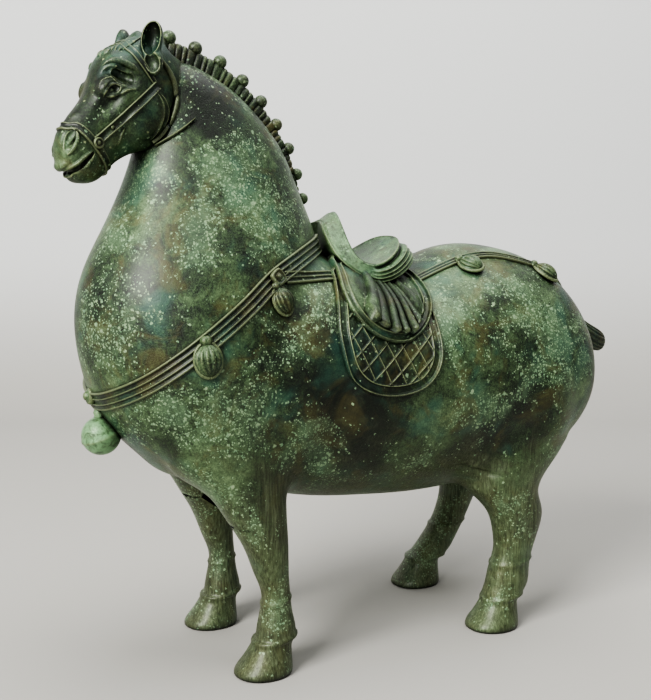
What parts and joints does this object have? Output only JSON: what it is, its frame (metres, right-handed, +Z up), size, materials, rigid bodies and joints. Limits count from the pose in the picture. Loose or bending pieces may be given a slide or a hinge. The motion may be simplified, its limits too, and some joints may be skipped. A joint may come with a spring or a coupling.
{
  "type": "horse statuette",
  "caption": "Standing horse statuette in patinated bronze, with a thick neck, clipped mane, bridle, pleated saddle and tasselled harness.",
  "frame": {"origin": "middle of the bounding box, on the surface that the hooves stand on", "axes": "+Z up, the horse faces -Y, +X to its left (near) side"},
  "size_m": [0.1582, 0.4292, 0.3998],
  "materials": {
    "patina_horse": "cast bronze, waxed dark green-black patina with mint speckles",
    "patina_tack": "cast bronze, dark green patina rubbed to olive on the raised edges",
    "patina_trim": "cast bronze, lighter green patina with near-black recesses",
    "bare_bronze": "bare turned bronze"
  },
  "bodies": {
    "root": {"belly_plug": "patina_horse", "body_shell": "patina_horse", "browband": "patina_tack", "chest_bell": "patina_trim", "chest_boss": "patina_trim", "forelock": "patina_horse", "head": "patina_horse", "head_pin": "bare_bronze", "leg_pins": "bare_bronze", "mane": "patina_horse", "mane_bead_1": "patina_trim", "mane_bead_2": "patina_trim", "mane_bead_3": "patina_trim", "mane_bead_4": "patina_trim", "mane_bead_5": "patina_trim", "mane_bead_6": "patina_trim", "mane_bead_7": "patina_trim", "mane_bead_8": "patina_trim", "mane_bead_9": "patina_trim", "near_bit_ring": "patina_tack", "near_breast_collar": "patina_tack", "near_cheek_strap": "patina_tack", "near_chest_tassel_1": "patina_trim", "near_chest_tassel_2": "patina_trim", "near_collar_branch": "patina_tack", "near_crupper": "patina_tack", "near_ear": "patina_horse", "near_fore_leg": "patina_horse", "near_hind_leg": "patina_horse", "near_quilted_cloth": "patina_tack", "near_rump_tassel_1": "patina_trim", "near_rump_tassel_2": "patina_trim", "near_saddle_drape": "patina_tack", "near_saddle_flap": "patina_tack", "near_throatlatch": "patina_tack", "neck_shell": "patina_horse", "noseband": "patina_tack", "off_bit_ring": "patina_tack", "off_breast_collar": "patina_tack", "off_cheek_strap": "patina_tack", "off_chest_tassel_1": "patina_trim", "off_chest_tassel_2": "patina_trim", "off_collar_branch": "patina_tack", "off_crupper": "patina_tack", "off_ear": "patina_horse", "off_fore_leg": "patina_horse", "off_hind_leg": "patina_horse", "off_quilted_cloth": "patina_tack", "off_rump_tassel_1": "patina_trim", "off_rump_tassel_2": "patina_trim", "off_saddle_drape": "patina_tack", "off_saddle_flap": "patina_tack", "off_throatlatch": "patina_tack", "saddle_seat": "patina_tack", "tail": "patina_horse", "tail_pin": "bare_bronze"}
  },
  "joints": []
}
